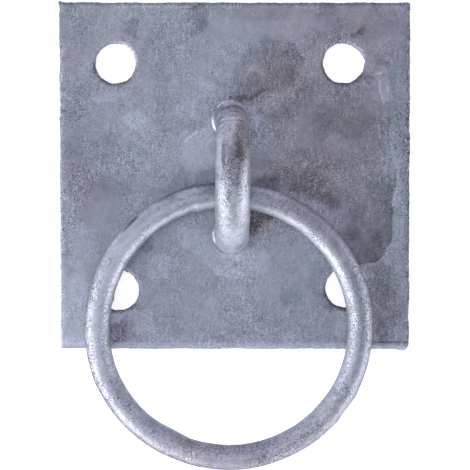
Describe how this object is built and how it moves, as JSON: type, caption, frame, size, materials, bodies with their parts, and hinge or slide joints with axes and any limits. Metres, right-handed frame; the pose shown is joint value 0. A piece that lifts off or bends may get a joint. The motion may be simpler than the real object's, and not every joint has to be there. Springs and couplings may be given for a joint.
{
  "type": "ring on plate",
  "caption": "Galvanised steel mooring or tie-down ring held loose by a round-rod staple on a square back plate with corner fixing holes.",
  "frame": {"origin": "on the back face of the plate, at the centre of the four fixing holes, midway between the staple's feet", "axes": "+Z stands out of the plate towards the staple's bar; +Y runs along the staple, away from the edge that the ring lies over; +X is to the right when the plate is seen from its front with +Y up"},
  "size_m": [0.1, 0.133, 0.0297],
  "materials": {
    "galvanised_plate": "hot-dip galvanised, weathered to a mottled matt grey with a blue cast",
    "galvanised_rod": "hot-dip galvanised, brighter than the plate and slightly lumpy",
    "galvanised_weld": "small weld bead under the zinc"
  },
  "bodies": {
    "plate_with_staple": {"back_plate": "galvanised_plate", "staple": "galvanised_rod", "upper_foot_weld": "galvanised_weld", "lower_foot_weld": "galvanised_weld"},
    "loose_ring": {"ring": "galvanised_rod"}
  },
  "joints": [
    {"name": "ring_swing", "type": "hinge", "parent": "plate_with_staple", "child": "loose_ring", "pos_m": [0, -0.0049, 0.0088], "axis": [-1, 0, 0], "range_deg": [0, 180]}
  ]
}
